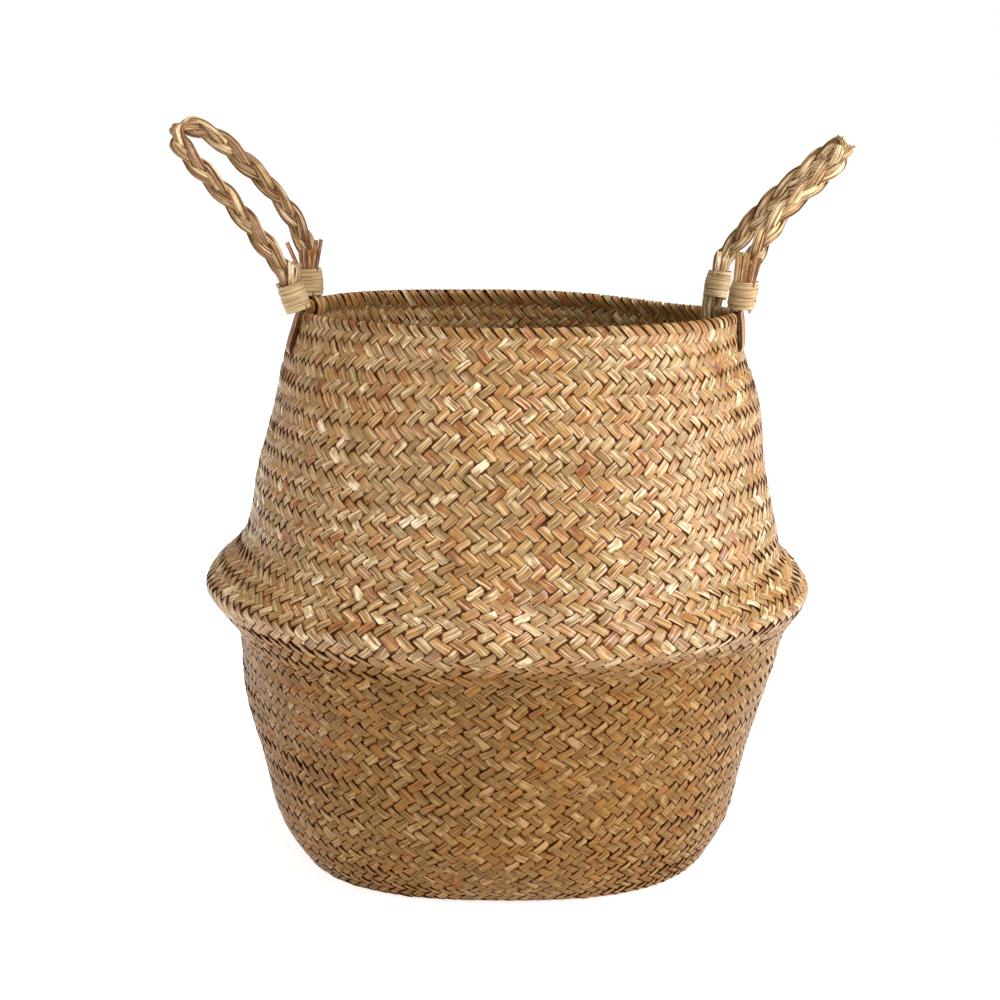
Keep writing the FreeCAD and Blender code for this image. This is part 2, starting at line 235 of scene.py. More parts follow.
def base_point(side, across, inward, out):
    """Points of the base from arrays: its side's number, how far along that side in stems, the row
    (0 at the edge, less than 0 inside) and the distance down out of the fabric's middle."""
    u = SIDE - across + inward / 2
    v = across + inward / 2
    total = np.maximum(u + v, 1e-9)
    bearing = FIRST_CORNER + (side + np.clip(v / total, 0, 1)) * math.pi / 2
    edge = wall_point(bearing, np.zeros_like(bearing), np.zeros_like(bearing))[..., :2]
    reach = (total / SIDE)[..., None]
    turn = FIRST_CORNER + side * math.pi / 2
    square = np.stack([u * np.cos(turn) - v * np.sin(turn), u * np.sin(turn) + v * np.cos(turn)], -1)
    square *= BASE_SQUARE * np.linalg.norm(edge, axis=-1, keepdims=True) / SIDE
    flat = square * (1 - reach ** 2) + edge * reach ** 3
    return np.concatenate([flat, (BASE_Z - out)[..., None]], -1)


# ---------------- ribbons: every stem is one or more


def unit(vectors):
    """Vectors of length 1 with the same directions."""
    return vectors / np.linalg.norm(vectors, axis=-1, keepdims=True)


def catmull_rom(before, here, after, later, t):
    """The smooth curve through evenly spaced values, between here and after."""
    bend = 2 * before - 5 * here + 4 * after - later + t * (3 * (here - after) + later - before)
    return here + 0.5 * t * (after - before + t * bend)


def smooth_line(points, count):
    """A smooth line through some points, as count points spread evenly over them."""
    points = np.asarray(points, float)
    padded = np.vstack([2 * points[0] - points[1], points, 2 * points[-1] - points[-2]])
    lengths = np.linalg.norm(np.diff(points, axis=0), axis=1)
    at = np.concatenate([[0], np.cumsum(lengths)])
    wanted = np.linspace(0, at[-1], count)
    whole = np.clip(np.searchsorted(at, wanted, "right") - 1, 0, len(lengths) - 1)
    share = ((wanted - at[whole]) / lengths[whole])[:, None]
    return catmull_rom(*(padded[whole + step] for step in range(4)), share)


# A stem's cross-section: across it and through it, each from -1 to 1.
PLATE = np.array([(-1, -0.1), (-0.9, 0.8), (0, 1), (0.9, 0.8), (1, -0.1), (0.8, -1), (-0.8, -1)])
LEAF = np.array([(-1, 0), (-0.75, 0.85), (0.75, 0.85), (1, 0), (0.75, -0.85), (-0.75, -0.85)])
UPPER_FACE = -0.2  # corners of a cross-section above this belong to its upper face
DIVE_PAINTED_SHADE = 0.95  # how dark the painted shade makes a woven stem's faces at the fabric's middle, where an edge is 1
DIVE_SHADE_FADE = 0.75  # how much less of that painted shade the face that shows has at a crossing
SHARP = 42  # the faces of a stem meet in a visible edge past this angle, in degrees


class Bundle:
    """Ribbons gathered for one piece: their corners, their faces and what the material reads."""

    def __init__(self):
        self.corners, self.loops, self.sizes, self.grain, self.tint = [], [], [], [], []
        self.count = 0

    def add(self, path, up, width, thick, tone, region=1.0, roll=0.0, section=PLATE, offset=0.0, lift=None):
        """Adds ribbons along paths, an array of ribbons, places and x, y, z; up is what their face looks to.
        lift is how high woven ones lie, -1 to 1; the face that dives under others gets painted shade there."""
        ribbons, places = path.shape[:2]
        shape = (ribbons, places)
        tangent = unit(np.gradient(path, axis=1))
        side = unit(np.cross(up, tangent))
        up = np.cross(tangent, side)
        turn = np.broadcast_to(roll, shape)[..., None]
        side, up = side * np.cos(turn) + up * np.sin(turn), up * np.cos(turn) - side * np.sin(turn)
        across = np.broadcast_to(width, shape)[..., None] / 2 * section[:, 0]
        through = np.broadcast_to(thick, shape)[..., None] / 2 * section[:, 1]
        corners = path[:, :, None] + side[:, :, None] * across[..., None]
        corners = corners + up[:, :, None] * through[..., None]
        sides = len(section)
        self.corners.append(corners.reshape(-1, 3))
        steps = np.linalg.norm(np.diff(path, axis=1), axis=-1)
        travelled = np.concatenate([np.zeros((ribbons, 1)), np.cumsum(steps, axis=1)], 1)
        full = (ribbons, places, sides)
        offsets = np.broadcast_to(np.reshape(offset, (-1, 1, 1)), full)
        grain = [across / MM, np.broadcast_to(travelled[..., None] / MM, full), offsets]
        self.grain.append(np.stack(grain, -1).reshape(-1, 3))
        tones = np.broadcast_to(np.broadcast_to(tone, shape)[..., None], full)
        regions = np.broadcast_to(np.broadcast_to(region, shape)[..., None], full)
        # a stem's edges are darker: partly its own brown, partly painted shade in the gaps between stems
        edges = np.broadcast_to(np.abs(section[:, 0]), full)
        if lift is not None:
            # painted shade where a woven stem's face dives under the others
            dive_shade = DIVE_PAINTED_SHADE - DIVE_SHADE_FADE * lift[..., None] * np.sign(section[:, 1] - UPPER_FACE)
            edges = np.clip(np.maximum(edges, dive_shade), 0, 1)
        self.tint.append(np.stack([tones, regions, edges], -1).reshape(-1, 3))
        index = self.count + np.arange(ribbons * places * sides).reshape(full)
        beside = np.roll(index, -1, axis=2)
        quads = [index[:, :-1], index[:, 1:], beside[:, 1:], beside[:, :-1]]
        self.loops.append(np.stack(quads, -1).ravel())
        self.sizes.append(np.full(ribbons * (places - 1) * sides, 4))
        caps = np.concatenate([index[:, 0], index[:, -1, ::-1]])
        self.loops.append(caps.ravel())
        self.sizes.append(np.full(len(caps), sides))
        self.count += index.size


def make_piece(name, bundle, material, slot, nodes):
    """The mesh of a bundle, with its material and the CAD nodes that it stands for; slot is not used."""
    mesh = bpy.data.meshes.new(name)
    corners, loops, sizes = (np.concatenate(part) for part in (bundle.corners, bundle.loops, bundle.sizes))
    mesh.vertices.add(len(corners))
    mesh.vertices.foreach_set("co", corners.ravel())
    mesh.loops.add(len(loops))
    mesh.loops.foreach_set("vertex_index", loops.astype(np.int32))
    mesh.polygons.add(len(sizes))
    mesh.polygons.foreach_set("loop_start", np.concatenate([[0], np.cumsum(sizes)[:-1]]).astype(np.int32))
    mesh.polygons.foreach_set("use_smooth", np.ones(len(sizes), bool))
    mesh.update(calc_edges=True)
    for attribute, values in (("grain", bundle.grain), ("tint", bundle.tint)):
        layer = mesh.attributes.new(attribute, "FLOAT_VECTOR", "POINT")
        layer.data.foreach_set("vector", np.concatenate(values).astype(np.float32).ravel())
    mesh.set_sharp_from_angle(angle=math.radians(SHARP))
    mesh.materials.append(material)
    piece = bpy.data.objects.new(name, mesh)
    bpy.context.scene.collection.objects.link(piece)
    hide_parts(*nodes)
    return piece


# ---------------- the materials

BLACK = (0, 0, 0)
WHITE = (1, 1, 1)
# dark brown for a stem's edges: partly its own colour, partly painted shade
EDGE_SHADE_BROWN = (0.075, 0.022, 0.007)
LOW_TINT_AND_SHADE = (0.65, 0.565, 0.455)  # what the colours are multiplied by in the lower region: its browner colour, and painted shade below the belly
NOISE_DETAIL = 2.0
PATCHY = 1.1  # how much the patches shift a stem's shade
LOW_SHADE = 0.13  # the palest shade in the brown lower region
SPOT_SHARE = 0.5  # how strong the spots, streaks, fine streaks and dark edges, which are partly painted shade, are at most
STREAK_SHARE = 0.8
FINE_SHARE = 0.5
EDGE_SHADE_SHARE = 0.93
PALE_HIGHLIGHT_SHARE = (0.2, 0.4)  # how strong the pale streaks, partly painted highlights, are low down, and how much more so high up
SHINE = (0.08, 0.35)  # how shiny the stems are low down, and how much more so high up
RELIEF = 0.25 * MM  # how deep the fibres' relief is
RELIEF_STRENGTH = 0.75
FINE_RELIEF = 0.4  # how deep the fine streaks are against the fibres


def stem_material(name, palette, dark, spots, roughness):
    """Dried stems: a palette by tone, streaks along the fibres, darker spots and darker edges; the pale
    streaks are partly painted highlights, the dark edges partly painted shade, and the lower region's brown
    partly painted shade.
    """
    material = bpy.data.materials.new(name)
    material.use_nodes = True
    nodes, links = material.node_tree.nodes, material.node_tree.links
    shader = nodes["Principled BSDF"]

    def node(kind, **settings):
        made = nodes.new(kind)
        for key, value in settings.items():
            setattr(made, key, value)
        return made

    def link(value, socket):
        if isinstance(value, bpy.types.NodeSocket):
            links.new(value, socket)
        else:
            socket.default_value = value

    def maths(operation, first, second):
        made = node("ShaderNodeMath", operation=operation)
        link(first, made.inputs[0])
        link(second, made.inputs[1])
        return made.outputs[0]

    def attribute(label):
        split = node("ShaderNodeSeparateXYZ")
        links.new(node("ShaderNodeAttribute", attribute_name=label).outputs["Vector"], split.inputs[0])
        return split.outputs

    def noise(across_rate, along_rate, seed):
        place = node("ShaderNodeCombineXYZ")
        link(maths("MULTIPLY", grain[0], across_rate), place.inputs[0])
        link(maths("MULTIPLY", grain[1], along_rate), place.inputs[1])
        link(maths("MULTIPLY", grain[2], seed), place.inputs[2])
        made = node("ShaderNodeTexNoise")
        made.inputs["Scale"].default_value = 1.0
        made.inputs["Detail"].default_value = NOISE_DETAIL
        links.new(place.outputs[0], made.inputs["Vector"])
        return made.outputs["Fac"]

    def ramp(value, stops):
        made = node("ShaderNodeValToRGB")
        elements = made.color_ramp.elements
        while len(elements) < len(stops):
            elements.new(0.5)
        for element, (place, colour) in zip(elements, stops):
            element.position = place
            element.color = (*colour, 1)
        links.new(value, made.inputs[0])
        return made.outputs[0]

    def mask(value, black, white):
        return ramp(value, sorted([(black, BLACK), (white, WHITE)]))

    def by_region(low, more):
        return maths("ADD", maths("MULTIPLY", region, more), low)

    def mix(share, first, second, blend="MIX"):
        made = node("ShaderNodeMix", data_type="RGBA", blend_type=blend)
        link(share, made.inputs[0])
        link(first, made.inputs[6])
        link(second, made.inputs[7])
        return made.outputs[2]

    grain = attribute("grain")
    tone, region, edge = attribute("tint")
    fibres = noise(across_rate=1.5, along_rate=0.05, seed=31.7)
    fine = noise(across_rate=2.6, along_rate=0.09, seed=57.1)
    patches = noise(across_rate=0.30, along_rate=0.16, seed=13.3)
    shade = maths("ADD", tone, maths("MULTIPLY", maths("SUBTRACT", patches, 0.5), PATCHY))
    shade = maths("MAXIMUM", shade, maths("MULTIPLY", maths("SUBTRACT", 1.0, region), LOW_SHADE))
    colour = ramp(shade, [(i / (len(palette) - 1), tint) for i, tint in enumerate(palette)])
    stain = mask(patches, black=0.55, white=0.68)
    colour = mix(maths("MULTIPLY", stain, SPOT_SHARE), colour, (*spots, 1))
    streak = mask(fibres, black=0.47, white=0.34)
    colour = mix(maths("MULTIPLY", streak, STREAK_SHARE), colour, (*dark, 1))
    # pale streaks: paler fibres, partly painted highlights, stronger high up
    pale = mask(fibres, black=0.55, white=0.66)
    colour = mix(maths("MULTIPLY", pale, by_region(*PALE_HIGHLIGHT_SHARE)), colour, (*palette[0], 1))
    thin = mask(fine, black=0.46, white=0.36)
    colour = mix(maths("MULTIPLY", thin, FINE_SHARE), colour, (*dark, 1))
    # darker edges: partly the stems' own brown, partly painted shade in the gaps and where they dive under
    # others
    rim = mask(edge, black=0.82, white=0.93)
    colour = mix(maths("MULTIPLY", rim, EDGE_SHADE_SHARE), colour, (*EDGE_SHADE_BROWN, 1))
    # the lower region: browner colour, and painted shade below the belly
    colour = mix(1.0, colour, ramp(region, [(0, LOW_TINT_AND_SHADE), (1, WHITE)]), "MULTIPLY")
    links.new(colour, shader.inputs["Base Color"])
    shader.inputs["Roughness"].default_value = roughness
    matt_edge_shade = maths("SUBTRACT", 1.0, rim)
    link(maths("MULTIPLY", by_region(*SHINE), matt_edge_shade), shader.inputs["Specular IOR Level"])
    bump = node("ShaderNodeBump")
    bump.inputs["Strength"].default_value = RELIEF_STRENGTH
    bump.inputs["Distance"].default_value = RELIEF
    links.new(maths("ADD", fibres, maths("MULTIPLY", fine, FINE_RELIEF)), bump.inputs["Height"])
    links.new(bump.outputs[0], shader.inputs["Normal"])
    return material


# The colours of the stems by tone, 0 to 1.
SEAGRASS = [
    (0.82, 0.655, 0.43), (0.43, 0.27, 0.098), (0.25, 0.157, 0.050), (0.335, 0.196, 0.060),
    (0.41, 0.208, 0.055), (0.31, 0.115, 0.025), (0.18, 0.055, 0.013),
]
PLAITED = [(0.74, 0.55, 0.31), (0.55, 0.37, 0.165), (0.43, 0.26, 0.10), (0.24, 0.115, 0.042)]
RAFFIA = [(0.54, 0.39, 0.20), (0.45, 0.31, 0.145), (0.35, 0.22, 0.09)]
weave_material = stem_material(
    "seagrass", SEAGRASS, dark=(0.13, 0.045, 0.015), spots=(0.38, 0.15, 0.042), roughness=0.36)
plait_material = stem_material(
    "plaited_seagrass", PLAITED, dark=(0.09, 0.035, 0.014), spots=(0.24, 0.09, 0.032), roughness=0.48)
raffia_material = stem_material(
    "raffia", RAFFIA, dark=(0.24, 0.13, 0.05), spots=(0.42, 0.23, 0.09), roughness=0.5)


# ---------------- the weave

CROSSING = 0.76 * MM  # how far a stem's middle lies above or below the fabric's middle at a crossing
STEM_THICK = 1.15 * MM
STEM_FILL = 1.10  # how much of its room a stem fills
PER_ROW = 3  # places worked out for each crossing row
FLOAT_ROLL = math.radians(4.5)  # how much one float is turned about its length against another
MOST_ROWS = 16  # rows in one piece of the weave, at most
BROWN_SHADED_BELOW = 129 * MM  # below this height the stems are brown and darkened by painted shade
PALE_LIT_ABOVE = 142 * MM  # and above this one they are pale, without that painted shade
LOW_TONE = 0.8  # how much of its tone a stem keeps in the brown lower region
UNEVEN_AROUND = 0.10  # how far a crossing strays round the wall, in stem spacings
UNEVEN_UP = 0.5 * MM  # how far it strays up or down
CALM_ROWS_LOW = 6  # rows from the base's edge in which this grows to its full size
CALM_ROWS_HIGH = 4  # and rows from the rim
STRAY_ASIDE = 0.08  # how far a stem strays from its line, in stem spacings
STRAY_WIDTH = 0.16  # how much its width varies
STRAY_EVERY = 3  # rows from one value of these to the next
TONE_EVERY = 6  # rows from one value of its wandering tone to the next
FLOAT_SHARE = 0.62  # how much of a tone is the float's own
STEM_SHARE = 0.22  # how much of it is the stem's own
WANDER_SHARE = 0.16  # and how much of it wanders
TOP_PAST = 0.1  # how many rows past the last one the stems end, under the border
TOP_APART = 0.5  # how many rows above that the stems of one lean end, and the others below

# The middle of the rows where a stem of each lean lies under the others, counted from a whole repeat.
HIDDEN = {-1: 2.5, 1: 0.5}

ROW_NUMBERS = np.arange(ROWS + 1)
REACH = ROWS + SIDE  # how many rows a stem passes on either side of the base's middle
TABLE = REACH + 8  # half the places in a stem's longest tables
random = np.random.default_rng(SEED)
stem_tone = random.uniform(0, 1, STRANDS)
float_tone = random.uniform(0, 1, (STRANDS, 2 * TABLE))
float_roll = random.normal(0, 1, (STRANDS, 2 * TABLE))
width_table = random.uniform(-1, 1, (STRANDS, 2 * TABLE // STRAY_EVERY))
aside_table = random.uniform(-1, 1, (STRANDS, 2 * TABLE // STRAY_EVERY))
tone_table = random.uniform(-1, 1, (STRANDS, 2 * TABLE // TONE_EVERY + 2))
around_table, up_table = random.uniform(-1, 1, (2, STRANDS, TABLE // 2 + 2))


def whole_stem(lean, stem):
    """Which stem this end belongs to, and the row at which that stem passes the base's middle."""
    side, place = np.divmod(stem, SIDE)
    if lean > 0:
        side, place = (side - 1) % SIDES, SIDE - 1 - place
    return side * SIDE + place, place - SIDE + 0.5


def over(lean, row):
    """1 where a stem of this lean lies on top at a crossing row, and -1 where it lies below."""
    return np.where((np.mod(row, REPEAT) < 2) == (lean < 0), 1.0, -1.0)


def over_through_base(lean, middle, whole):
    """The same for a stem that runs through the base, at its crossings counted from the base's middle."""
    travelled = whole + 0.5
    return over(np.where(travelled < 0, -lean, lean), middle + np.abs(travelled))


def heights(sign_at, places):
    """How far out a stem's middle lies at some places: level at the crossings, which are the whole
    numbers, and steep between them."""
    whole = np.floor(places)
    signs = (sign_at(whole + step) for step in (-1, 0, 1, 2))
    curve = np.clip(catmull_rom(*signs, places - whole), -1, 1)
    return CROSSING * (1.5 * curve - 0.5 * curve ** 3)


def ease(share):
    """A share from 0 to 1 that starts and ends gently."""
    return share * share * (3 - 2 * share)


def drift(table, stem, travelled, step):
    """A value that wanders along each stem, from a table with one value every few rows."""
    place = (travelled + TABLE) / step
    whole = np.floor(place).astype(int)
    share = ease(place - whole)
    return table[stem, whole] * (1 - share) + table[stem, whole + 1] * share


def lattice_noise(table, around, up):
    """Smooth random values over the wall, from a table with one value at each crossing."""
    column, row = np.floor(around), np.floor(up)
    share_around, share_up = ease(around - column), ease(up - row)
    column, row = column.astype(int), np.clip(row.astype(int), 0, table.shape[1] - 2)
    low, high = (table[column % STRANDS, row + step] for step in (0, 1))
    low_next, high_next = (table[(column + 1) % STRANDS, row + step] for step in (0, 1))
    below = low * (1 - share_around) + low_next * share_around
    above = high * (1 - share_around) + high_next * share_around
    return below * (1 - share_up) + above * share_up


def weave_points(lean, stem, rows, out, aside):
    """Points of stems' lines: an array of stems by rows, out of the fabric and aside in stem spacings."""
    across = stem + 0.5 + lean * rows / 2 + aside
    calm = np.clip(rows / CALM_ROWS_LOW, 0, 1) * np.clip((ROWS - rows) / CALM_ROWS_HIGH, 0, 1)
    shift = calm * lattice_noise(around_table, across, rows / 2)
    climbed = calm * lattice_noise(up_table, across, rows / 2)
    bearing = FIRST_CORNER + (across + UNEVEN_AROUND * shift) * math.tau / STRANDS
    past = np.maximum(rows - ROWS, 0) * (ROW_ALONG[-1] - ROW_ALONG[-2])
    along = np.interp(rows, ROW_NUMBERS, ROW_ALONG) + past + UNEVEN_UP * climbed
    points = wall_point(bearing, along, out)
    if rows.min() < 0:
        side = stem // SIDE
        inner = base_point(side, across - side * SIDE, np.minimum(rows, 0), out)
        points = np.where(rows[..., None] < 0, inner, points)
    return points


def stem_ribbons(bundle, lean, stem, rows, out):
    """Adds stems of one lean: arrays of stems by rows."""
    whole, middle = whole_stem(lean, stem)
    travelled = lean * (rows - middle)
    aside = STRAY_ASIDE * drift(aside_table, whole, travelled, STRAY_EVERY)
    path = weave_points(lean, stem, rows, out, aside)
    up = weave_points(lean, stem, rows, out + SHORT_STEP, aside)
    up = up - weave_points(lean, stem, rows, out - SHORT_STEP, aside)
    room = weave_points(lean, stem, rows, out, aside + 0.5)
    room = room - weave_points(lean, stem, rows, out, aside - 0.5)
    tangent = unit(np.gradient(path, axis=1))
    width = np.linalg.norm(np.cross(room, tangent), axis=-1)
    width = width * STEM_FILL * (1 + STRAY_WIDTH * drift(width_table, whole, travelled, STRAY_EVERY))
    half = TABLE if lean < 0 else 0
    floats = np.floor((rows - HIDDEN[lean]) / REPEAT).astype(int) + half + SIDE
    tone = FLOAT_SHARE * float_tone[whole, floats] + STEM_SHARE * stem_tone[whole]
    tone = tone + WANDER_SHARE * (0.5 + 0.5 * drift(tone_table, whole, travelled, TONE_EVERY))
    # region: 0 in the brown lower part with its painted shade, 1 in the pale upper part
    region = np.clip((path[..., 2] - BROWN_SHADED_BELOW) / (PALE_LIT_ABOVE - BROWN_SHADED_BELOW), 0, 1)
    tone = tone * (LOW_TONE + (1 - LOW_TONE) * region)
    roll = FLOAT_ROLL * float_roll[whole, floats]
    bundle.add(path, up, width, STEM_THICK, tone, region, roll, offset=whole[:, 0] + 0.37 * lean,
               lift=out / CROSSING)


def weave_band(bundle, low, high):
    """Adds the wall's stems between two rows; each is cut where it next lies hidden under the others."""
    for lean, hidden in HIDDEN.items():
        end = min(high + hidden, ROWS + TOP_PAST + TOP_APART * lean)
        count = round((end - low - hidden) * PER_ROW) + 1
        rows = np.broadcast_to(np.linspace(low + hidden, end, count), (STRANDS, count))
        stem = np.broadcast_to(np.arange(STRANDS)[:, None], rows.shape)
        out = heights(lambda row: over(lean, row), rows)
        stem_ribbons(bundle, lean, stem, rows, out)


def weave_base(bundle):
    """Adds the base: each stem runs down one side, under or over the others, and up the next side."""
    for place in range(SIDE):
        middle = place - SIDE + 0.5
        for lean, hidden in HIDDEN.items():
            count = round((hidden - middle) * PER_ROW) + 1
            rows = np.broadcast_to(np.linspace(hidden, middle, count), (SIDES, count))
            number = place if lean < 0 else SIDE - 1 - place
            stem = np.broadcast_to((np.arange(SIDES) * SIDE + number)[:, None], rows.shape)
            out = heights(lambda whole: over_through_base(lean, middle, whole), rows - middle - 0.5)
            stem_ribbons(bundle, lean, stem, rows, out)


def cut_near(height):
    """The row nearest to a height of the wall that is a whole number of repeats."""
    row_heights = np.interp(ROW_ALONG, ALONG, HEIGHT)
    return REPEAT * round(float(np.interp(height, row_heights, ROW_NUMBERS)) / REPEAT)


UPPER_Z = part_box("upper_wall")[1][2]
BEND_LOW = FOLD_Z[1]  # the wall gives way above this height when the rim goes down

# The wall's bands: the name of its pieces, the CAD nodes they stand for, its top and its slot.
BANDS = [
    ("lower_weave", ["lower_wall"], FOLD_Z[0], "seagrass_lower_wall"),
    ("fold_weave", ["belly_fold_lower", "belly_fold_upper"], FOLD_Z[1], "seagrass_fold"),
    ("upper_weave", ["upper_wall"], UPPER_Z, "seagrass_upper_wall"),
    ("rim_fabric", ["rim_weave"], RIM_Z, "seagrass_upper_wall"),
]


def make_weave():
    """The base and the wall, in pieces of a few rows each."""
    bundle = Bundle()
    weave_base(bundle)
    made = [make_piece("base_weave", bundle, weave_material, "seagrass_base", ["base_mat"])]
    low = 0
    for name, nodes, top, slot in BANDS:
        high = ROWS + 1 if top == RIM_Z else cut_near(top)
        pieces = math.ceil((high - low) / MOST_ROWS)
        cuts = [low + REPEAT * round((high - low) * i / pieces / REPEAT) for i in range(pieces)]
        cuts.append(high)
        for number, (start, end) in enumerate(zip(cuts, cuts[1:]), start=1):
            bundle = Bundle()
            weave_band(bundle, start, end)
            label = name if pieces == 1 else f"{name}_{number}"
            made.append(make_piece(label, bundle, weave_material, slot, nodes))
        low = high
    for piece in made:
        highest = max(vertex.co.z for vertex in piece.data.vertices)
        if highest < BEND_LOW:
            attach(piece, "basket")
        else:
            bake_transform(piece)


make_weave()


# ---------------- the border: stems folded in over the rim

# The line of one border stem in the wall's section: past the end of the weave, and out of the wall's middle.
BORDER_LINE = np.array([
    (-2.6, -0.8), (-1.0, -0.3), (0.8, 0.85), (2.8, 1.35), (4.4, 0.95), (5.0, 0.0),
    (4.4, -1.0), (2.8, -1.5), (0.4, -1.45), (-1.8, -1.1), (-4.0, -0.3),
]) * MM
BORDER_PLACES = 30  # places worked out along it
BORDER_FILL = 0.94  # how much of its room a border stem fills
BORDER_ASIDE = 0.07  # how far it strays from its line, in stem spacings
BORDER_OUT = 0.10  # how much further out or in it folds
BORDER_WIDTH = 0.08  # how much its width varies
BORDER_TONES = (0.1, 0.8)  # the palest tone, and how much darker one can be


def make_border():
    """The border: the end of each stem that leans one way, folded over the rim and down inside it."""
    line = smooth_line(BORDER_LINE, BORDER_PLACES)
    steps = np.linalg.norm(np.diff(line, axis=0), axis=1)
    travelled = np.concatenate([[0], np.cumsum(steps)])
    row_tall = ROW_ALONG[-1] - ROW_ALONG[-2]
    rows = ROWS + line[0, 0] / row_tall + travelled / row_tall
    stem = np.arange(STRANDS)[:, None]
    noise = random.uniform(-1, 1, (STRANDS, 5))
    across = stem + 0.5 - rows / 2 + BORDER_ASIDE * noise[:, :1]
    shape = (STRANDS, BORDER_PLACES)
    beyond = np.broadcast_to(line[:, 0], shape)
    out = line[:, 1] * (1 + BORDER_OUT * noise[:, 1:2])
    heading = unit(np.gradient(line, axis=0))

    def points(aside=0.0, proud=0.0):
        bearing = FIRST_CORNER + (across + aside) * math.tau / STRANDS
        along = WALL_LENGTH + beyond - proud * heading[:, 1]
        return wall_point(bearing, along, out + proud * heading[:, 0])

    path = points()
    up = points(proud=SHORT_STEP) - points(proud=-SHORT_STEP)
    tangent = unit(np.gradient(path, axis=1))
    room = np.linalg.norm(np.cross(points(aside=0.5) - points(aside=-0.5), tangent), axis=-1)
    width = room * BORDER_FILL * (1 + BORDER_WIDTH * noise[:, 2:3])
    tone = BORDER_TONES[0] + BORDER_TONES[1] * random.uniform(0, 1, (STRANDS, 1))
    bundle = Bundle()
    bundle.add(path, up, width, STEM_THICK, tone, region=0.5, roll=FLOAT_ROLL * noise[:, 3:4],
               offset=np.arange(STRANDS) + 0.7)
    piece = make_piece("border_wraps", bundle, weave_material, "seagrass_border", ["rim_border"])
    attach(piece, "rim")


make_border()


# ---------------- the handles

BINDING_TALL = 15 * MM
BINDING_R = 7.3 * MM  # the outer radius
WOUND_R = BINDING_R - 0.8 * MM  # from the axis to the middle of the strip
WOUND_TALL = 14.0 * MM  # from the middle of the first turn to the middle of the last
WRAPS = 7  # turns of the strip
WRAP_PLACES = 26  # places worked out for each turn
WRAP_PAST = 0.4  # how far past the first and the last turn the strip goes, in radians
WRAP_FILL = 1.1  # how wide the strip is against the room for a turn
WRAP_OUT = 0.35 * MM  # how far a turn strays out or in, and up or down
WRAP_UP = 0.3 * MM
WRAP_TILT = 0.45 * MM  # how far each turn tilts
WRAP_WAIST = 0.5 * MM  # how much thinner the binding is at its ends
STRIP_THICK = 1.0 * MM
LOOP_PLACES = 90  # places worked out along a foot's stems
LOOP_WIDE = 4.0 * MM  # how wide each is, and how far it lies from the next at most
LOOP_THICK = 1.5 * MM
LOOP_CLOSE = 0.77  # how near to each other they come at their ends, as a share of that
END_PLACES = 9  # places worked out along a cut end
END_DEEP = 3  # how far down in the binding it starts, in millimetres
END_THICK = 0.9 * MM
LEAF_THICK = 1.0 * MM
LOOSE_THICK = 0.7 * MM
ENTRY_RISES = (0.0 * MM, 4.5 * MM)  # heights above a binding's middle at which a plait's strands pass
ENTRY_SPREAD = 0.8  # how much of their distance from the plait's middle they keep there
STRAND_FINE = 4  # places worked out for each ring of a CAD strand
PLAIT_TONES = {"left": 0.5, "right": 0.25}  # before the leaves vary
RIM_MIDDLE = Vector(((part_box("rim_border")[0][0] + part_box("rim_border")[1][0]) / 2, 0, 0))
RING = 6  # corners round a CAD strand


def cad_rings(node, near):
    """The centres of a CAD strand's rings, from the end that lies nearest to a point."""
    corners = np.round([vertex.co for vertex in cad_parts[node].data.vertices], 7)
    corners = np.unique(corners, axis=0)
    here, centres = np.array(near), []
    while len(corners) >= RING:
        order = np.argsort(np.linalg.norm(corners - here, axis=1))
        here = corners[order[:RING]].mean(0)
        centres.append(here)
        corners = corners[order[RING:]]
    return np.array(centres)


class Foot:
    """One foot of a handle: its binding's middle, axis and directions, all from the frame."""

    def __init__(self, name, flex):
        self.name = name
        low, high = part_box(f"{name}_binding")
        self.middle = np.array((low + high) / 2)
        self.axis = unit(flex - self.middle)
        self.bearing = math.atan2(self.middle[1], self.middle[0] - RIM_MIDDLE.x)
        outward = unit(np.array([self.middle[0] - RIM_MIDDLE.x, self.middle[1], 0]))
        self.round = np.cross([0, 0, 1], outward)
        self.outward = np.cross(self.round, self.axis)

    def place(self, up, out=0.0, across=0.0):
        """A point beside the binding's axis, up from its middle; in metres."""
        return self.middle + self.axis * up + self.outward * out + self.round * across

    def beside_wall(self, beyond, out):
        """A point beside the wall, past the end of the weave and out of the wall's middle."""
        along = WALL_LENGTH + beyond
        return wall_point(np.array([self.bearing]), np.array([along]), np.array([out]))[0]


def flat_ups(path, around):
    """For each place of paths in a foot's plane, the direction across the path in that plane."""
    return np.cross(np.broadcast_to(around, path.shape), unit(np.gradient(path, axis=1)))


def make_binding(foot):
    """A wrapped binding: one long flat strip of raffia, wound round and round."""
    bundle = Bundle()
    turn = np.linspace(-WRAP_PAST, WRAPS * math.tau + WRAP_PAST, WRAPS * WRAP_PLACES)
    share = np.clip(turn / (WRAPS * math.tau), 0, 1)
    wobble = np.interp(share * WRAPS, np.arange(WRAPS + 1), random.uniform(-1, 1, WRAPS + 1))
    radius = WOUND_R + WRAP_OUT * wobble - WRAP_WAIST * np.abs(share * 2 - 1) ** 2
    up = (share - 0.5) * WOUND_TALL + WRAP_TILT * np.sin(turn + 1) + WRAP_UP * wobble
    spokes = np.cos(turn)[:, None] * foot.outward + np.sin(turn)[:, None] * foot.round
    path = foot.middle + foot.axis * up[:, None] + spokes * radius[:, None]
    width = WOUND_TALL / WRAPS * (WRAP_FILL + 0.12 * wobble)
    tone = 0.5 + 0.4 * wobble
    bundle.add(path[None], spokes[None], width[None], STRIP_THICK, tone[None], offset=foot.bearing * 9)
    nodes = [f"{foot.name}_binding"]
    piece = make_piece(f"{foot.name}_wrapping", bundle, raffia_material, "raffia_binding", nodes)
    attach(piece, "rim")


# The palest and darkest tone of each foot's stems.
STEM_TONES = {
    "left_front": (0.6, 0.95),
    "left_rear": (0.7, 0.95),
    "right_front": (0.5, 0.95),
    "right_rear": (0.05, 0.35),
}


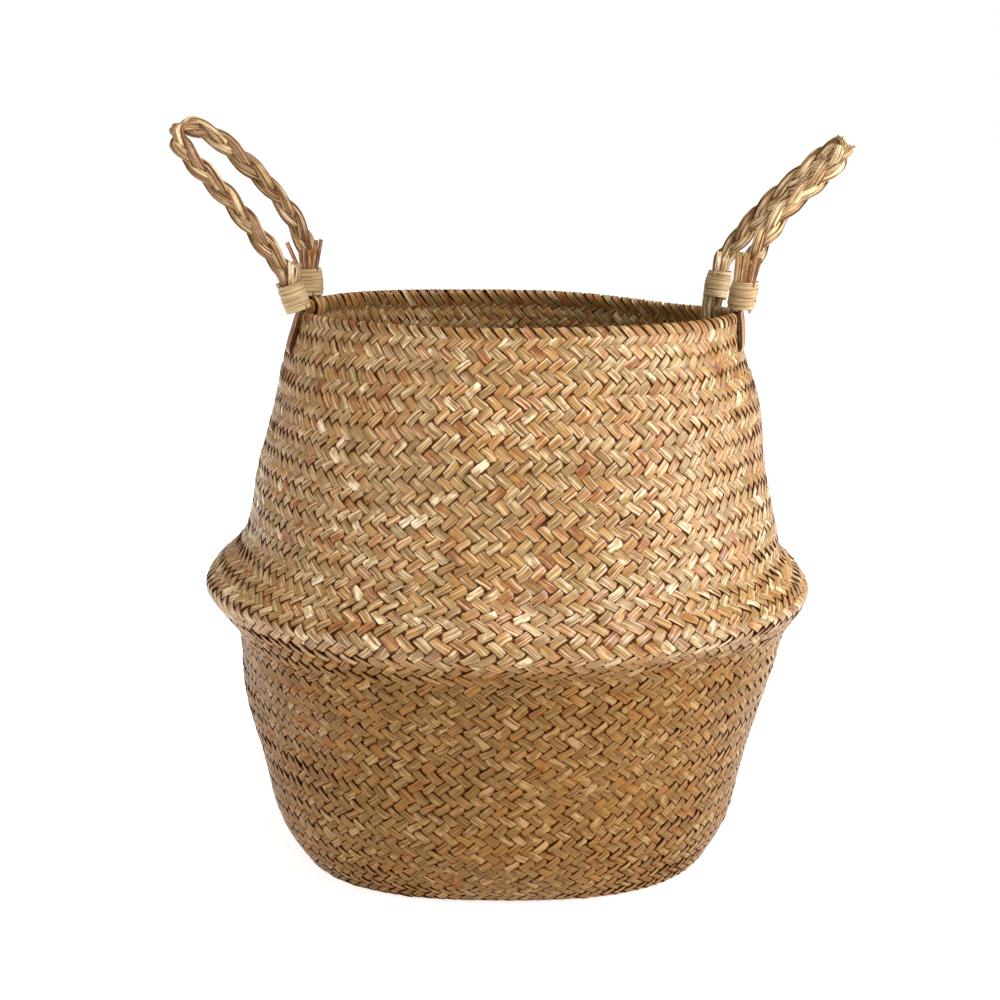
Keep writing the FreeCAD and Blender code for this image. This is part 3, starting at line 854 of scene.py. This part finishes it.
def make_stems(foot):
    """The foot's stems: down inside the rim, out through the wall and up again into the binding."""
    line = [
        foot.place(5.5 * MM, -2.4 * MM),
        foot.place(-3 * MM, -2.6 * MM),
        foot.place(-8 * MM, -3.4 * MM),
        foot.beside_wall(1 * MM, -3.3 * MM),
        foot.beside_wall(-13.6 * MM, -2.6 * MM),
        foot.beside_wall(-15 * MM, 0),
        foot.beside_wall(-13.6 * MM, 2.6 * MM),
        foot.beside_wall(-1 * MM, 3.1 * MM),
        foot.beside_wall(5.5 * MM, 3.2 * MM),
        foot.place(-3 * MM, 2.7 * MM),
        foot.place(5.5 * MM, 2.4 * MM),
    ]
    bundle = Bundle()
    middle = smooth_line(line, LOOP_PLACES)
    share = np.linspace(0, 1, LOOP_PLACES)
    for number in (-1, 0, 1):
        spread = LOOP_WIDE * number * (LOOP_CLOSE + (1 - LOOP_CLOSE) * np.sin(math.pi * share))
        stray = 0.4 * MM * np.sin(9 * share + number)
        path = middle + foot.round * (spread + stray)[:, None]
        width = LOOP_WIDE * (1 + 0.06 * np.sin(14 * share + 2 * number))
        tone = random.uniform(*STEM_TONES[foot.name])
        bundle.add(path[None], flat_ups(path[None], foot.round), width[None], LOOP_THICK, tone,
                   offset=random.uniform(0, 50))
    piece = make_piece(f"{foot.name}_stem_loop", bundle, weave_material, "foot_stem", [f"{foot.name}_stems"])
    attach(piece, "rim")


# The cut ends that stick out of each binding: across and out of its axis (mm), leaning inwards (degrees),
# how far they stand above its top and how wide they are (mm), tone.
CUT_ENDS = {
    "left_front": [
        (4.5, 0.6, 19, 10.5, 3.6, 0.10),
        (4.0, -2.4, 24, 8.5, 2.8, 0.30),
    ],
    "left_rear": [
        (4.2, 3.2, -22, 15.0, 2.2, 0.85),
        (4.6, 2.0, -3, 9.0, 2.2, 0.95),
        (4.8, 0.0, 0, 10.0, 2.3, 0.80),
        (4.6, -2.0, 3, 9.5, 2.3, 0.90),
        (4.0, -3.8, 9, 14.5, 2.2, 0.80),
        (3.2, -4.8, 14, 15.0, 1.9, 0.95),
    ],
    "right_front": [
        (-4.2, -3.8, 5, 14.0, 3.6, 0.68),
        (-4.8, -0.4, 3, 14.0, 3.4, 0.76),
        (-4.4, 3.0, -4, 13.0, 4.2, 0.88),
    ],
    "right_rear": [
        (-3.4, -4.2, 3, 9.5, 3.6, 0.05),
        (-4.0, -0.8, 0, 9.5, 3.6, 0.15),
    ],
}


def make_cut_ends(foot):
    """The flat cut ends of the stems, standing out of the binding's mouth."""
    bundle = Bundle()
    for across, out, inwards, tall, wide, tone in CUT_ENDS[foot.name]:
        start = foot.place(BINDING_TALL / 2 - END_DEEP * MM, out * MM, across * MM)
        heading = unit(foot.axis - math.tan(math.radians(inwards)) * foot.outward)
        share = np.linspace(0, 1, END_PLACES)[:, None]
        path = start + heading * (tall + END_DEEP) * MM * share
        width = wide * MM * np.linspace(1.0, random.uniform(1.0, 1.15), END_PLACES)
        facing = np.broadcast_to(-math.copysign(1, foot.round[1]) * foot.round, path[None].shape)
        bundle.add(path[None], facing, width[None], END_THICK, tone,
                   roll=random.uniform(-0.35, 0.35), offset=random.uniform(0, 50))
    nodes = [f"{foot.name}_cut_ends"]
    piece = make_piece(f"{foot.name}_trimmed_ends", bundle, weave_material, "cut_stem", nodes)
    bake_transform(piece)


# Where a strand's leaves lie: across it and through it, and how wide each is, in millimetres.
LEAF_PLACES = [
    (-2.2, 0.2, 1.9), (-1.1, 0.85, 2.8), (0.9, 1.05, 3.0), (2.2, 0.2, 1.9),
    (-1.3, -0.8, 2.7), (0.2, -1.1, 2.7), (1.5, -0.7, 2.6),
]
LOOSE = {"left": 0, "right": 9}  # loose leaf ends at a plait's tip
DIVE_SHADE = 0.8  # painted shade: how much darker the leaves are where their strand lies under the others
SQUEEZE = 0.62  # how near the leaves' strand keeps to the plait's middle, against the CAD strand


def strand_leaves(bundle, line, middle, depth, tone):
    """Adds the leaves of one strand: a flat bunch round its line, its face towards the plait's own face."""
    tangent = unit(np.gradient(line, axis=0))
    across = unit(np.cross(depth, tangent))
    proud = np.sum((line - middle) * depth, axis=1)
    proud = proud / np.abs(proud).max()
    depth = np.cross(tangent, across)
    share = np.linspace(0, 1, len(line))
    for place_across, place_through, wide in LEAF_PLACES:
        sway = 0.35 * np.sin(share * random.uniform(12, 34) + random.uniform(0, 6))
        swell = 0.25 * np.sin(share * random.uniform(12, 34) + random.uniform(0, 6))
        path = line + across * ((place_across + sway) * MM)[:, None]
        path = path + depth * ((place_through + swell) * MM)[:, None]
        facing = depth * place_through + across * 0.5 * place_across
        width = wide * MM * (1 + 0.15 * np.sin(share * random.uniform(15, 40)))
        # painted shade: the leaves at a strand's sides, and those where it lies under the others, are darker
        shade = tone + 0.13 * abs(place_across) + random.uniform(-0.5, 0.5)
        shade = shade + 0.2 * np.sin(share * random.uniform(10, 25) + place_across)
        shade = shade + DIVE_SHADE * np.clip(-proud * math.copysign(1, place_through), 0, 1)
        bundle.add(path[None], facing[None], width[None], LEAF_THICK, shade[None], section=LEAF,
                   roll=random.uniform(-0.2, 0.2), offset=random.uniform(0, 50))


def loose_leaves(bundle, count, tip, hinge, outward, tone):
    """Adds the short loose leaf ends at the tip of a plait."""
    through = np.cross(hinge, outward)
    for aside in np.linspace(-1, 1, count):
        start = tip + hinge * aside * 6 * MM - outward * 1.5 * MM
        heading = outward + through * random.uniform(-0.9, 0.9)
        heading = heading + hinge * (0.3 * aside + random.uniform(-0.3, 0.3))
        path = smooth_line([start, start + unit(heading) * random.uniform(5, 9) * MM], 6)
        facing = np.broadcast_to(through, path.shape)
        width = random.uniform(1.3, 2.2) * MM
        shade = tone + random.uniform(-0.3, 0.5)
        bundle.add(path[None], facing[None], width, LOOSE_THICK, shade, section=LEAF,
                   roll=random.uniform(-0.8, 0.8), offset=random.uniform(0, 50))


def into_bindings(line, middle, feet):
    """The points of a strand, or of its plait's middle, taken on down into both bindings."""
    ends = []
    for foot, at in zip(feet, (0, -1)):
        aside = ENTRY_SPREAD * (line[at] - middle[at])
        ends.append([foot.place(rise) + aside for rise in ENTRY_RISES])
    return np.vstack([ends[0], line, ends[1][::-1]])


def make_handle(side):
    """One handle: its plait's three strands, and both feet."""
    low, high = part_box(f"{side}_front_binding")
    nodes = [f"{side}_handle_strand_{number}" for number in (1, 2, 3)]
    lines = [cad_rings(node, (low + high) / 2) for node in nodes]
    middle = np.mean(lines, axis=0)
    feet = [Foot(f"{side}_front", middle[0]), Foot(f"{side}_rear", middle[-1])]
    hinge = unit(middle[-1] - middle[0])
    up = feet[0].axis + feet[1].axis
    up = unit(up - hinge * (up @ hinge))
    centre = (middle[0] + middle[-1]) / 2
    tip = middle[len(middle) // 2]
    loop_normal = unit(np.cross(middle[-1] - middle[0], tip - middle[0]))
    core = smooth_line(into_bindings(middle, middle, feet), STRAND_FINE * len(middle))
    face = unit(np.cross(loop_normal, np.gradient(core, axis=0)))
    tone = PLAIT_TONES[side]
    for number, (node, line) in enumerate(zip(nodes, lines), start=1):
        line = middle + SQUEEZE * (line - middle)
        path = smooth_line(into_bindings(line, middle, feet), len(core))
        bundle = Bundle()
        strand_leaves(bundle, path, core, face, tone)
        stands_for = [node]
        if number == 1:
            loose_leaves(bundle, LOOSE[side], tip, hinge, unit(tip - centre), tone)
            stands_for += [f"{foot.name}_neck" for foot in feet]
        label = f"{side}_plait_strand_{number}"
        piece = make_piece(label, bundle, plait_material, "plaited_stem", stands_for)
        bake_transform(piece)
    for foot in feet:
        make_binding(foot)
        make_stems(foot)
        make_cut_ends(foot)


for side in ("left", "right"):
    make_handle(side)


# ---------------- the studio

FLOOR_SIZE = 12
FLOOR_PAINT = (0.9, 0.9, 0.9, 1)
FLOOR_GLOW = 0.74  # the floor's own light, which keeps it nearly white
AMBIENT = 0.30  # light from all round
LIT_PLACE = Vector((0, 0, 0.2))  # what the lamps point at

# The lamps: name, place, size and power.
LIGHTS = [
    ("key", (1.2, -1.0, 1.6), 0.6, 37),
    ("fill", (-1.4, -1.3, 1.0), 1.0, 9),
    ("top", (0.0, 0.0, 1.9), 1.0, 18),
    ("side", (1.6, -0.3, 0.4), 0.8, 15),
]
LENS = 63.88  # focal length in millimetres
CAMERA_PLACE = (-0.0033, -0.9265, 0.3662)
CAMERA_DOWN = 0.1970  # how far the camera looks down, in radians


def make_floor():
    """A pale floor that glows a little."""
    bpy.ops.mesh.primitive_plane_add(size=FLOOR_SIZE)
    floor = bpy.context.object
    floor.name = "floor"
    paint = bpy.data.materials.new("floor")
    paint.use_nodes = True
    shader = paint.node_tree.nodes["Principled BSDF"]
    shader.inputs["Base Color"].default_value = FLOOR_PAINT
    shader.inputs["Roughness"].default_value = 0.9
    shader.inputs["Specular IOR Level"].default_value = 0.1
    shader.inputs["Emission Color"].default_value = (*WHITE, 1)
    shader.inputs["Emission Strength"].default_value = FLOOR_GLOW
    floor.data.materials.append(paint)


def make_world():
    """White to the camera, and a soft light from all round."""
    world = bpy.data.worlds.new("studio")
    world.use_nodes = True
    nodes, links = world.node_tree.nodes, world.node_tree.links
    soft = nodes["Background"]
    soft.inputs["Color"].default_value = (*WHITE, 1)
    soft.inputs["Strength"].default_value = AMBIENT
    seen = nodes.new("ShaderNodeBackground")
    seen.inputs["Color"].default_value = (*WHITE, 1)
    mix = nodes.new("ShaderNodeMixShader")
    links.new(nodes.new("ShaderNodeLightPath").outputs["Is Camera Ray"], mix.inputs[0])
    links.new(soft.outputs[0], mix.inputs[1])
    links.new(seen.outputs[0], mix.inputs[2])
    links.new(mix.outputs[0], nodes["World Output"].inputs[0])
    bpy.context.scene.world = world
    bpy.context.scene.view_settings.view_transform = "Standard"


def make_lights():
    """The lamps, each turned to the basket."""
    for name, place, size, power in LIGHTS:
        lamp = bpy.data.lights.new(name, "AREA")
        lamp.shape = "SQUARE"
        lamp.size = size
        lamp.energy = power
        light = bpy.data.objects.new(name, lamp)
        light.location = place
        light.rotation_euler = (LIT_PLACE - Vector(place)).to_track_quat("-Z", "Y").to_euler()
        bpy.context.scene.collection.objects.link(light)


def make_camera():
    """The camera, in front of the basket and a little above it."""
    lens = bpy.data.cameras.new("camera")
    lens.lens = LENS
    camera = bpy.data.objects.new("camera", lens)
    camera.location = CAMERA_PLACE
    camera.rotation_euler = (math.pi / 2 - CAMERA_DOWN, 0, 0)
    bpy.context.scene.collection.objects.link(camera)
    bpy.context.scene.camera = camera


make_floor()
make_world()
make_lights()
make_camera()
